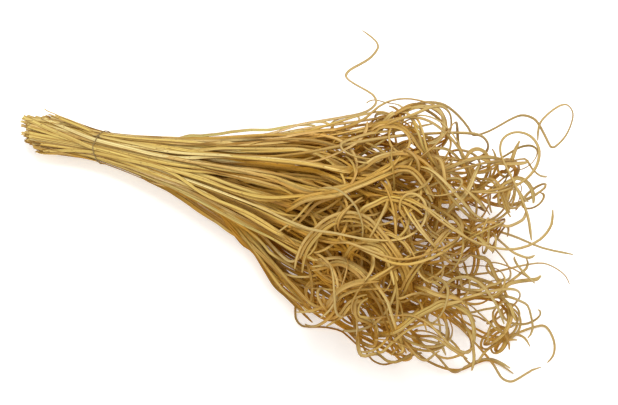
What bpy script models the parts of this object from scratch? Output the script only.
"""A dried bunch of bleached curly ting ting, lying on its side, modelled in metres with +Z up.

Every strand is one flat reed. It runs from its cut end through the tie, fans out straight and
then curls to its tip. Neighbouring reeds are pressed together in pairs under the tie, and each
pair is one solid. A knotted thread holds the bunch near the cut ends. The origin is at the
middle of the bunch's box, on the surface that it lies on, and +X points towards the tips.
Until the last step, places are measured from the point on that surface straight below the tie.
"""

import math
import random
from dataclasses import dataclass

import bmesh
import bpy
from mathutils import Matrix, Vector
from mathutils.kdtree import KDTree

MM = 0.001
UP = Vector((0.0, 0.0, 1.0))
AHEAD = Vector((1.0, 0.0, 0.0))
BUNCH = "bunch"

# Finishes
PALE_STRAW = (0.62, 0.44, 0.19)
GOLDEN_STRAW = (0.45, 0.28, 0.09)
THREAD_COLOUR = (0.30, 0.21, 0.08)
STRAW_ROUGHNESS = 0.6
THREAD_ROUGHNESS = 0.8

# The strip that every reed is: its size at the cut end, and how far it has shrunk at the tip
STRIP_WIDTH = 3.5 * MM
STRIP_THICKNESS = 0.95 * MM
TIP_WIDTH_SHARE = 0.5
TIP_THICKNESS_SHARE = 0.7

# The neck, where the tie pulls the reeds into an oval of flat rows, staggered like bricks
NECK_HALF_WIDTH = 16.5 * MM
NECK_HALF_HEIGHT = 13.2 * MM
NECK_ROWS = 17
NECK_PITCH = 3.95 * MM
NECK_HEIGHT = 22.0 * MM
PRESSED_HALF_LENGTH = 12.0 * MM
VALLEY_SHARE = 0.35
WAIST = 25.0 * MM

# The tie: a thin thread, its knot on the bunch's upper left, and the knot's two tails
THREAD_RADIUS = 0.6 * MM
THREAD_GAP = 0.35 * MM
THREAD_LEAN = math.radians(11.0)
THREAD_SEGMENTS = 44
THREAD_SIDES = 6
KNOT_ANGLE = math.radians(32.0)
KNOT_RADIUS = 1.5 * MM
TAIL_RADIUS = 0.5 * MM
TAILS = ((-9.0 * MM, 1.5 * MM, 1.6 * MM), (7.0 * MM, 2.6 * MM, 3.0 * MM))

# The cut ends, behind the tie, which sag onto the surface
CUT_SHORTEST = 66.0 * MM
CUT_LONGEST = 84.0 * MM
CUT_ROUNDING = 16.0 * MM
CUT_STATION = 45.0 * MM
CUT_FLARE = 12.0
CUT_DROP = 0.12

# The fan, ahead of the tie: slopes at the neck, and how much they grow with the distance
FAN_SLOPE = 0.14
FAN_BOW = 0.65
FAN_STEEPNESS = 0.09
FAN_STEEPENING = 0.30
FAN_RISE = 0.13
FAN_STATIONS = (50 * MM, 85 * MM, 125 * MM, 165 * MM)
FAN_SHORTEST = 170.0 * MM
FAN_LONGEST = 235.0 * MM
STRAY_SIDEWAYS = 0.06
STRAY_UP = 0.02
ROLL_START = 110.0 * MM
MOST_ROLL = 1.3

# The curls, whose bends are in radians a metre
STEP = 2.0 * MM
OPEN_BEND = 9.0
TIGHT_BEND = 84.0
HOMING = 6.0
HASTE = 38.0
SLACK = 1.22
SHORTEST_HOOK = 70.0 * MM
LONGEST_HOOK = 180.0 * MM
PLACED_LEAD = 35.0 * MM
LEAST_DISTANCE = 3.6 * MM
WARY_DISTANCE = 9.0 * MM
AVOIDANCE = 90.0
FLOOR_CLEARANCE = 0.8 * MM
WARY_HEIGHT = 14.0 * MM
LEAVING_STEPS = 8
TRIES = 60
SEED = 7

# The spray, which the curls fill, and the outline that they stay in
SPRAY_START = 280.0 * MM
SPRAY_END = 515.0 * MM
SPRAY_MIDDLE = -25.0 * MM
SPRAY_HALF_WIDTH = 110.0 * MM
SPRAY_HEIGHT = 54.0 * MM
SPRAY_HALF_HEIGHT = 42.0 * MM
SPRAY_TOP = 112.0 * MM
OUTLINE_MIDDLE = -18.0 * MM
OUTLINE_HALF_WIDTH = 120.0 * MM
OUTLINE_START_SHARE = 0.64
OUTLINE_START = 200.0 * MM
OUTLINE_GROWTH = 100.0 * MM
OUTLINE_END = 524.0 * MM
OUTLINE_TOP = 130.0 * MM
WARY_OUTLINE = 20.0 * MM

# Facets
RING_TURN = math.radians(40.0)
PLACED_RING_TURN = math.radians(26.0)
TWIST_WEIGHT = 0.5
RING_LENGTH = 32.0 * MM

# Reeds at the spray's edge, on top of it or resting under it, placed by hand, in millimetres
TOP_WAVE = (
    (215, 72, 52), (250, 84, 60), (274, 95, 67), (281, 107, 70), (271, 117, 69), (255, 123, 65),
    (242, 134, 58), (247, 149, 54), (260, 165, 50), (266, 181, 51), (258, 190, 53), (245, 194, 56),
)
SIDE_LOOP = (
    (215, 60, 62), (260, 74, 74), (303, 92, 81), (325, 110, 84), (350, 117, 80), (374, 108, 72),
    (388, 99, 66), (410, 118, 60), (429, 138, 57), (446, 139, 55), (458, 127, 53), (470, 114, 52),
    (481, 131, 56), (482, 151, 63), (472, 158, 67), (458, 145, 69), (450, 128, 67), (452, 112, 63),
)
UPPER_RING = (
    (215, 50, 70), (255, 62, 82), (276, 76, 90), (288, 93, 93), (304, 104, 94), (325, 108, 94),
    (345, 106, 91), (356, 93, 87), (353, 79, 85), (340, 69, 87), (327, 71, 91), (322, 81, 95),
)
CROSSING = (
    (205, -29, 82), (245, -20, 96), (283, -5, 107), (307, 19, 112), (335, 44, 113), (362, 56, 108),
    (386, 42, 100), (392, 22, 94),
)
GREAT_ARC = (
    (205, -58, 50), (236, -78, 56), (250, -76, 68), (262, -55, 80), (278, -38, 88), (298, -33, 92),
    (322, -39, 92), (340, -53, 87), (353, -68, 79), (356, -86, 70),
)
LOWER_ARC = (
    (195, -66, 28), (232, -98, 34), (258, -112, 41), (282, -112, 43), (302, -104, 44),
    (322, -92, 46), (345, -88, 50),
)
LOWER_WAVE = (
    (180, -60, 9), (200, -68, 11), (215, -82, 15), (234, -96, 21), (252, -86, 27), (278, -67, 31),
    (300, -66, 34), (322, -80, 35), (340, -101, 31), (352, -114, 26),
)
LOWER_EDGE = (
    (190, -58, 6), (225, -76, 4), (250, -101, 3), (257, -120, 2), (268, -127, 1), (290, -122, 1),
    (308, -122, 1), (326, -131, 2), (344, -134, 4),
)
LOWER_HOOK = (
    (225, -68, 24), (270, -88, 25), (305, -106, 22), (322, -120, 19), (332, -134, 15),
    (345, -144, 12), (360, -143, 9), (375, -131, 7), (388, -118, 6),
)
FAR_WAVE = (
    (225, -56, 16), (300, -78, 14), (350, -100, 12), (385, -124, 9), (410, -131, 7), (430, -129, 6),
    (443, -119, 3), (456, -111, 2), (472, -112, 1), (484, -117, 2),
)
FAR_HOOK = (
    (225, -46, 24), (310, -62, 26), (370, -76, 24), (410, -84, 20), (440, -101, 16), (460, -115, 14),
    (472, -126, 11), (484, -126, 9), (496, -113, 7), (509, -104, 7),
)
END_HOOK = (
    (225, -34, 14), (320, -46, 8), (390, -66, 8), (430, -82, 8), (460, -86, 7), (480, -77, 6),
    (493, -66, 3), (507, -61, 2), (518, -73, 1), (520, -87, 1), (515, -97, 3),
)
END_WAVE = (
    (225, -22, 22), (310, -30, 24), (370, -42, 24), (405, -38, 22), (436, -27, 20), (465, -11, 18),
    (490, 0, 16), (512, -4, 13), (521, -13, 11),
)
END_REACH = (
    (225, 2, 30), (300, 6, 34), (360, 6, 34), (406, 14, 31), (440, 17, 30), (470, 13, 28),
    (495, 12, 27), (516, 14, 26),
)
MIDDLE_REST = (
    (205, -10, 8), (240, -15, 3), (262, -17, 0), (285, -18, 0), (310, -18, 0), (332, -14, 2),
    (350, -4, 8), (354, 10, 14), (343, 19, 18), (332, 12, 22),
)
LEFT_REST = (
    (205, 32, 13), (240, 46, 5), (264, 57, 0), (285, 65, 0), (310, 72, 0), (335, 73, 1),
    (355, 66, 5), (362, 53, 10), (352, 45, 15),
)
PLACED_BY_HAND = (
    TOP_WAVE, SIDE_LOOP, UPPER_RING, CROSSING, GREAT_ARC, LOWER_ARC, LOWER_WAVE, LOWER_EDGE,
    LOWER_HOOK, FAR_WAVE, FAR_HOOK, END_HOOK, END_WAVE, END_REACH, MIDDLE_REST, LEFT_REST,
)


@dataclass
class Line:
    """A reed's centre line and the direction of its width, point by point."""

    points: list
    widths: list


def smooth(value):
    """0 below 0, 1 above 1, and an even ease between them."""
    value = max(0.0, min(1.0, value))
    return value * value * (3.0 - 2.0 * value)


def blend(first, second, share):
    return first + (second - first) * share


def squared_across(vector, direction):
    """The part of a vector that is square to a direction."""
    return vector - direction * vector.dot(direction)


def neck_rows():
    """Where each reed passes the tie: (across, up) from the neck's middle, row by row."""
    rows = []
    row_pitch = (2 * NECK_HALF_HEIGHT - STRIP_THICKNESS) / NECK_ROWS
    for row in range(NECK_ROWS):
        up = (row - (NECK_ROWS - 1) / 2) * row_pitch
        outer = (abs(up) + STRIP_THICKNESS / 2) / NECK_HALF_HEIGHT
        reach = NECK_HALF_WIDTH * math.sqrt(1 - outer**2) - STRIP_WIDTH / 2
        count = int(2 * reach / NECK_PITCH + 0.25) + 1
        count -= (count - row) % 2
        rows.append([((column - (count - 1) / 2) * NECK_PITCH, up) for column in range(count)])
    return rows


def neck_radius(place):
    """0 for a reed in the neck's middle, 1 for one at its edge."""
    across, up = place
    return math.hypot(across / NECK_HALF_WIDTH, up / NECK_HALF_HEIGHT)


def fan_point(place, x, stray=(0.0, 0.0)):
    """A reed's centre at a distance x ahead of the tie, or behind it where x is negative."""
    across, up = place
    bent = math.hypot(x, WAIST) - WAIST
    if x < 0:
        flare = 1 + CUT_FLARE * bent
        height = NECK_HEIGHT - CUT_DROP * bent + up * flare
        return Vector((x, across * flare, max(height, STRIP_THICKNESS / 3)))
    spread = 1 + (FAN_SLOPE * bent + FAN_BOW * x * x) / NECK_HALF_WIDTH
    lift = 1 + (FAN_STEEPNESS * bent + FAN_STEEPENING * x * x) / NECK_HALF_HEIGHT
    y = across * spread + stray[0] * x * x
    z = NECK_HEIGHT + FAN_RISE * bent + up * lift + stray[1] * x * x
    return Vector((x, y, z))


def fan_line(place, cut, reach, stray=(0.0, 0.0), roll=0.0):
    """The stretch from the cut end, through the tie, to where the reed leaves the fan."""
    stations = [-cut, -CUT_STATION, -PRESSED_HALF_LENGTH, 0.0, PRESSED_HALF_LENGTH]
    stations += [x for x in FAN_STATIONS if x < reach - 20 * MM]
    stations.append(reach)
    points = [fan_point(place, x, stray) for x in stations]
    widths = []
    for x in stations:
        ahead = fan_point(place, x + MM, stray) - fan_point(place, x - MM, stray)
        side = UP.cross(ahead).normalized()
        turned = roll * smooth((x - ROLL_START) / (FAN_LONGEST - ROLL_START))
        widths.append(Matrix.Rotation(turned, 3, ahead.normalized()) @ side)
    return Line(points, widths)


def beside_outline(point):
    """How far a point lies outside the spray's outline, sideways; less than nothing inside it."""
    growth = smooth((point.x - OUTLINE_START) / OUTLINE_GROWTH)
    half_width = OUTLINE_HALF_WIDTH * blend(OUTLINE_START_SHARE, 1.0, growth)
    return abs(point.y - OUTLINE_MIDDLE * growth) - half_width


def held_in(point, along):
    """A bend that keeps a reed off the surface it lies on and inside the spray's outline."""
    low = max(0.0, 1 - (point.z - FLOOR_CLEARANCE) / WARY_HEIGHT)
    high = smooth((point.z - SPRAY_TOP) / WARY_HEIGHT)
    aside = smooth((beside_outline(point) + WARY_OUTLINE) / WARY_OUTLINE)
    outward = 1.0 if point.y > OUTLINE_MIDDLE else -1.0
    up = low * (12.0 + 80.0 * max(0.0, -along.z)) - high * (12.0 + 60.0 * max(0.0, along.z))
    left = -outward * aside * (15.0 + 60.0 * max(0.0, outward * along.y))
    return Vector((0.0, left, up))


def curl_line(fan, target, length, habit, taken):
    """The curly part: steps, each bent by the reed's own curl, its target and what is near."""
    twist, strength, sway = habit
    point, width = fan.points[-1], fan.widths[-1]
    along = (point - fan.points[-2]).normalized()
    line = Line([], [])
    steps = int(length / STEP)
    for count in range(1, steps + 1):
        share = count / steps
        curl = blend(OPEN_BEND, TIGHT_BEND, share**1.8) * strength
        curl *= 1 + 0.5 * math.sin(sway + 9 * share)
        goal = target - point
        need = goal.length * SLACK / (length * (1 - share) + 20 * MM)
        bend = along.cross(width) * curl
        bend += goal.normalized() * (HOMING + HASTE * smooth(need - 0.3))
        bend += held_in(point, along)
        near, _, distance = taken.find(point)
        if distance < WARY_DISTANCE:
            bend += (point - near) / distance * AVOIDANCE * (1 - distance / WARY_DISTANCE)
        along = (along + squared_across(bend, along) * STEP).normalized()
        turned = twist * STEP * (1 + 0.7 * math.sin(sway + 6 * share))
        width = Matrix.Rotation(turned, 3, along) @ width
        width = squared_across(width, along).normalized()
        point = point + along * STEP
        line.points.append(point)
        line.widths.append(width)
    return line


def spline_points(knots):
    """Points a step apart on a smooth curve through the knots."""
    ends = [knots[0] * 2 - knots[1], *knots, knots[-1] * 2 - knots[-2]]
    points = []
    for a, b, c, d in zip(ends, ends[1:], ends[2:], ends[3:]):
        bow = a * 2 - b * 5 + c * 4 - d
        swing = b * 3 - a - c * 3 + d
        count = max(2, round((c - b).length / STEP))
        for t in (step / count for step in range(count)):
            points.append(b + ((c - a) * t + bow * t**2 + swing * t**3) / 2)
    points.append(knots[-1])
    return points


def spline_line(fan, knots):
    """A placed reed's curve, whose flat side turns slowly towards the outside of each bend."""
    points = spline_points([fan.points[-1], *knots])
    width = fan.widths[-1]
    widths = [width]
    for before, here, after in zip(points, points[1:], points[2:] + points[-1:]):
        along = (here - before).normalized()
        turn = squared_across(after - here, along)
        across = along.cross(turn)
        if across.length > 0:
            across *= math.copysign(1 / across.length, across.dot(width))
            width = width.lerp(across, min(0.1, turn.length / STEP))
        width = squared_across(width, along).normalized()
        widths.append(width)
    return Line(points, widths)


def thinned(line, most_turn):
    """The points that a faceted reed needs: one wherever it has turned or gone far enough."""
    kept = Line([], [])
    turned = gone = 0.0
    for index in range(1, len(line.points) - 1):
        before = line.points[index] - line.points[index - 1]
        after = line.points[index + 1] - line.points[index]
        turned += before.angle(after)
        turned += line.widths[index].angle(line.widths[index + 1]) * TWIST_WEIGHT
        gone += before.length
        if turned > most_turn or gone > RING_LENGTH:
            kept.points.append(line.points[index])
            kept.widths.append(line.widths[index])
            turned = gone = 0.0
    kept.points.append(line.points[-1])
    kept.widths.append(line.widths[-1])
    return kept


def dense(points):
    """The same facets with a point at every step."""
    line = []
    for first, second in zip(points, points[1:]):
        count = max(1, round((second - first).length / STEP))
        line += [first.lerp(second, step / count) for step in range(count)]
    line.append(points[-1])
    return line


def tree_of(lines):
    """A search tree of all the lines' points."""
    points = [point for line in lines for point in line]
    tree = KDTree(len(points))
    for index, point in enumerate(points):
        tree.insert(point, index)
    tree.balance()
    return tree


def clear_share(points, taken):
    """What share of a faceted line lies inside the outline, clear of the others and of itself."""
    line = dense(points)
    own = tree_of([line])
    for index, point in enumerate(line):
        inside = FLOOR_CLEARANCE < point.z < OUTLINE_TOP and point.x < OUTLINE_END
        if index > LEAVING_STEPS and (not inside or beside_outline(point) > 0):
            return index / len(line)
        if taken.find(point)[2] < LEAST_DISTANCE:
            return index / len(line)
        for _, other, _ in own.find_range(point, LEAST_DISTANCE):
            if other < index - LEAVING_STEPS:
                return index / len(line)
    return 1.0


def cut_short(points, widths, share):
    """The facets that lie in a line's first share, after the point that it starts from."""
    left = share * sum((b - a).length for a, b in zip(points, points[1:]))
    kept = 0
    for first, second in zip(points, points[1:]):
        left -= (second - first).length
        if left < 0:
            break
        kept += 1
    kept = max(kept, 1)
    return Line(points[1:kept + 1], widths[:kept])


def grown_line(place, fan, taken, rng):
    """A curl from the end of a reed's fan line: the longest clear one of several tries."""
    across, up = place[0] / NECK_HALF_WIDTH, place[1] / NECK_HALF_HEIGHT
    best, most = None, -1.0
    for _ in range(TRIES):
        x = blend(SPRAY_START, SPRAY_END, rng.random() ** 0.7)
        y = SPRAY_MIDDLE + SPRAY_HALF_WIDTH * across + rng.uniform(-25, 25) * MM
        z = SPRAY_HEIGHT + SPRAY_HALF_HEIGHT * up + rng.uniform(-15, 15) * MM
        target = Vector((x, y, max(z, 10 * MM)))
        length = (target - fan.points[-1]).length * SLACK + rng.uniform(SHORTEST_HOOK, LONGEST_HOOK)
        twist = rng.choice((-1, 1)) * rng.uniform(5.0, 18.0)
        strength = rng.choice((-1, 1)) * rng.uniform(0.7, 1.15)
        habit = (twist, strength, rng.uniform(0, 2 * math.pi))
        facets = thinned(curl_line(fan, target, length, habit, taken), RING_TURN)
        points = [fan.points[-1], *facets.points]
        share = clear_share(points, taken)
        if share * length > most:
            best, most = cut_short(points, facets.widths, share), share * length
        if share == 1.0:
            break
    return best


def placed_knots(places):
    """The knots of each reed placed by hand, by the neck place whose fan line passes its start."""
    found = {}
    for knots in PLACED_BY_HAND:
        knots = [Vector(knot) * MM for knot in knots]
        start = knots[0]
        free = [place for place in places if place not in found]
        nearest = min(free, key=lambda place: (fan_point(place, start.x) - start).length)
        found[nearest] = knots
    return found


def reed_lines(places):
    """Every reed's line, from its cut end to its tip, by its place in the neck."""
    rng = random.Random(SEED)
    placed = placed_knots(places)
    fans, curls = {}, {}
    for place in places:
        cut = rng.uniform(CUT_SHORTEST, CUT_LONGEST) - CUT_ROUNDING * neck_radius(place) ** 3
        reach = rng.uniform(FAN_SHORTEST, FAN_LONGEST)
        stray = (rng.uniform(-1, 1) * STRAY_SIDEWAYS, rng.uniform(-1, 1) * STRAY_UP)
        roll = rng.uniform(-MOST_ROLL, MOST_ROLL)
        if place in placed:
            knots = placed[place]
            fans[place] = fan_line(place, cut, knots[0].x - PLACED_LEAD)
            curls[place] = thinned(spline_line(fans[place], knots), PLACED_RING_TURN)
        else:
            fans[place] = fan_line(place, cut, reach, stray, roll)
    for place in sorted(places, key=neck_radius, reverse=True):
        if place in placed:
            continue
        others = [dense(fan.points) for other, fan in fans.items() if other != place]
        others += [dense([fans[other].points[-1], *line.points]) for other, line in curls.items()]
        curls[place] = grown_line(place, fans[place], tree_of(others), rng)
    return {
        place: Line(fan.points + curls[place].points, fan.widths + curls[place].widths)
        for place, fan in fans.items()
    }


def reed_rings(line):
    """The strip's three corners at each point: right and left edge of its back, and its ridge."""
    rings = []
    last = len(line.points) - 1
    total = sum((b - a).length for a, b in zip(line.points, line.points[1:]))
    gone = 0.0
    for index, (point, width) in enumerate(zip(line.points, line.widths)):
        before = line.points[max(index - 1, 0)]
        after = line.points[min(index + 1, last)]
        gone += (point - before).length
        along = ((point - before).normalized() + (after - point).normalized()).normalized()
        width = squared_across(width, along).normalized()
        shrunk = (gone / total) ** 1.6
        half = width * STRIP_WIDTH / 2 * blend(1.0, TIP_WIDTH_SHARE, shrunk)
        thick = along.cross(width) * STRIP_THICKNESS * blend(1.0, TIP_THICKNESS_SHARE, shrunk)
        ring = [point - half - thick / 3, point + half - thick / 3, point + thick * 2 / 3]
        for corner in ring:
            corner.z = max(corner.z, 0.0)
        rings.append(ring)
    return rings


def skin(mesh, first, second):
    """Triangles between two rings of as many corners, each side bulging out where it is twisted."""
    middle = sum((corner.co for corner in first + second), Vector()) / (2 * len(first))
    for side, (a, b) in enumerate(zip(first, first[1:] + first[:1])):
        c, d = second[(side + 1) % len(second)], second[side]
        if ((a.co + c.co) / 2 - middle).length > ((b.co + d.co) / 2 - middle).length:
            split = (a, b, c), (a, c, d)
        else:
            split = (a, b, d), (b, c, d)
        for corners in split:
            mesh.faces.new(corners)


def sweep(mesh, rings):
    """A strip through rings of corners, closed at its far end."""
    rings = [[mesh.verts.new(corner) for corner in ring] for ring in rings]
    for first, second in zip(rings, rings[1:]):
        skin(mesh, first, second)
    mesh.faces.new(rings[-1])
    return rings[0]


def part_from_pair(mesh, four, three):
    """Triangles from a reed's four corners at the end of the pressed stretch to its next ring."""
    a, b, c, d = four
    right, left, ridge = three
    for face in ((a, b, left), (a, left, right), (b, c, ridge), (b, ridge, left), (c, d, ridge),
                 (d, a, right), (d, right, ridge)):
        mesh.faces.new(face)


def pair_mesh(right_line, left_line):
    """Two neighbouring reeds, pressed into one strip under the tie and free on both sides of it."""
    mesh = bmesh.new()
    right_rings, left_rings = reed_rings(right_line), reed_rings(left_line)
    tie_start, tie_end = 2, 4
    pressed = []
    for right, left in zip(right_rings[tie_start:tie_end + 1], left_rings[tie_start:tie_end + 1]):
        middle = (right[1] + left[0]) / 2
        valley = middle + UP * STRIP_THICKNESS * VALLEY_SHARE
        corners = (right[0], middle, left[1], left[2], valley, right[2])
        pressed.append([mesh.verts.new(corner) for corner in corners])
    for first, second in zip(pressed, pressed[1:]):
        skin(mesh, first, second)
    ends = ((pressed[0], slice(tie_start - 1, None, -1)), (pressed[-1], slice(tie_end + 1, None)))
    for (right_edge, middle, left_edge, left_ridge, valley, right_ridge), beyond in ends:
        right_ring = sweep(mesh, right_rings[beyond])
        part_from_pair(mesh, (right_edge, middle, valley, right_ridge), right_ring)
        left_ring = sweep(mesh, left_rings[beyond])
        part_from_pair(mesh, (middle, left_edge, left_ridge, valley), left_ring)
    bmesh.ops.recalc_face_normals(mesh, faces=mesh.faces)
    return mesh


def single_mesh(line):
    """A reed with no partner in its row."""
    mesh = bmesh.new()
    mesh.faces.new(sweep(mesh, reed_rings(line)))
    bmesh.ops.recalc_face_normals(mesh, faces=mesh.faces)
    return mesh


def tube(mesh, centres, radius, closed):
    """A round tube through the centres, joined end to end or with flat ends."""
    count = len(centres)
    rings = []
    for index, centre in enumerate(centres):
        before = centres[index - 1] if index or closed else centre
        after = centres[(index + 1) % count] if index < count - 1 or closed else centre
        along = (after - before).normalized()
        out = squared_across(AHEAD if abs(along.x) < 0.7 else UP, along).normalized()
        turns = [2 * math.pi * side / THREAD_SIDES for side in range(THREAD_SIDES)]
        offsets = [Matrix.Rotation(turn, 3, along) @ out * radius for turn in turns]
        rings.append([mesh.verts.new(centre + offset) for offset in offsets])
    for first, second in zip(rings, rings[1:]):
        skin(mesh, first, second)
    if closed:
        skin(mesh, rings[-1], rings[0])
    else:
        mesh.faces.new(rings[0])
        mesh.faces.new(rings[-1])
    bmesh.ops.recalc_face_normals(mesh, faces=mesh.faces)


def tie_point(reach, angle, out=0.0):
    """A point on the tie's oval, at an angle from the bunch's left, or further out from it."""
    spare = THREAD_GAP + THREAD_RADIUS + out
    across = (NECK_HALF_WIDTH * reach + spare) * math.cos(angle)
    up = (NECK_HALF_HEIGHT * reach + spare) * math.sin(angle)
    return Vector((-up * math.tan(THREAD_LEAN), across, NECK_HEIGHT + up))


def tie_object(places):
    """The thread round the neck, with its knot and the knot's two tails fused to it."""
    half_width, high = STRIP_WIDTH / 2, STRIP_THICKNESS * 2 / 3
    reach = max(neck_radius((abs(across) + half_width, abs(up) + high)) for across, up in places)
    ring = bmesh.new()
    turns = [2 * math.pi * index / THREAD_SEGMENTS for index in range(THREAD_SEGMENTS)]
    tube(ring, [tie_point(reach, turn) for turn in turns], THREAD_RADIUS, closed=True)
    tie = mesh_object("tie", ring)
    knot_at = tie_point(reach, KNOT_ANGLE, out=KNOT_RADIUS * 0.5)
    knot = bmesh.new()
    there = Matrix.Translation(knot_at)
    bmesh.ops.create_icosphere(knot, subdivisions=1, radius=KNOT_RADIUS, matrix=there)
    pieces = [mesh_object("knot", knot)]
    outward = (knot_at - Vector((0.0, 0.0, NECK_HEIGHT))).normalized()
    for number, (ahead, out, left) in enumerate(TAILS, 1):
        tail = bmesh.new()
        end = knot_at + Vector((ahead, left, 0.0)) + outward * out
        middle = knot_at.lerp(end, 0.5) + outward * out * 0.3
        tube(tail, [knot_at, middle, end], TAIL_RADIUS, closed=False)
        pieces.append(mesh_object(f"tail_{number}", tail))
    for piece in pieces:
        piece.hide_render = True
        piece.display_type = "WIRE"
        joined = tie.modifiers.new(piece.name, "BOOLEAN")
        joined.operation = "UNION"
        joined.object = piece
    return tie


def mesh_object(name, mesh):
    """An object of a finished bmesh, under the bunch."""
    data = bpy.data.meshes.new(name)
    mesh.to_mesh(data)
    mesh.free()
    made = bpy.data.objects.new(name, data)
    bpy.context.scene.collection.objects.link(made)
    made.parent = bpy.data.objects[BUNCH]
    return made


def straw(name, colour, roughness):
    """A dry, matt plant finish."""
    material = bpy.data.materials.new(name)
    material.use_nodes = True
    shader = material.node_tree.nodes["Principled BSDF"]
    shader.inputs["Base Color"].default_value = (*colour, 1.0)
    shader.inputs["Roughness"].default_value = roughness
    shader.inputs["Metallic"].default_value = 0.0
    return material


def reed_objects(rows, lines):
    """A solid for each two neighbours in a row, and for the last reed of an odd row."""
    rng = random.Random(SEED)
    number = 0
    for row in rows:
        for first in range(0, len(row), 2):
            number += 1
            pair = [lines[place] for place in row[first:first + 2]]
            name = f"reed_pair_{number:02d}" if len(pair) == 2 else f"reed_{number:02d}"
            reeds = mesh_object(name, pair_mesh(*pair) if len(pair) == 2 else single_mesh(*pair))
            shade = rng.random()
            colour = [blend(dark, pale, shade) for dark, pale in zip(GOLDEN_STRAW, PALE_STRAW)]
            reeds.data.materials.append(straw(name, colour, STRAW_ROUGHNESS))


def set_on_origin():
    """Moves the bunch so that the middle of its box's foot is on the origin."""
    bpy.context.view_layer.update()
    corners = [
        made.matrix_world @ Vector(corner)
        for made in bpy.data.objects if made.type == "MESH"
        for corner in made.bound_box
    ]
    lows = [min(corner[axis] for corner in corners) for axis in range(3)]
    highs = [max(corner[axis] for corner in corners) for axis in range(3)]
    bunch = bpy.data.objects[BUNCH]
    bunch.location = (-(lows[0] + highs[0]) / 2, -(lows[1] + highs[1]) / 2, -lows[2])
    bpy.context.view_layer.update()


def main():
    for old in list(bpy.data.objects):
        bpy.data.objects.remove(old)
    bpy.context.scene.collection.objects.link(bpy.data.objects.new(BUNCH, None))
    rows = neck_rows()
    places = [place for row in rows for place in row]
    reed_objects(rows, reed_lines(places))
    tie = tie_object(places)
    tie.data.materials.append(straw("thread", THREAD_COLOUR, THREAD_ROUGHNESS))
    tie.data.shade_smooth()
    set_on_origin()


main()
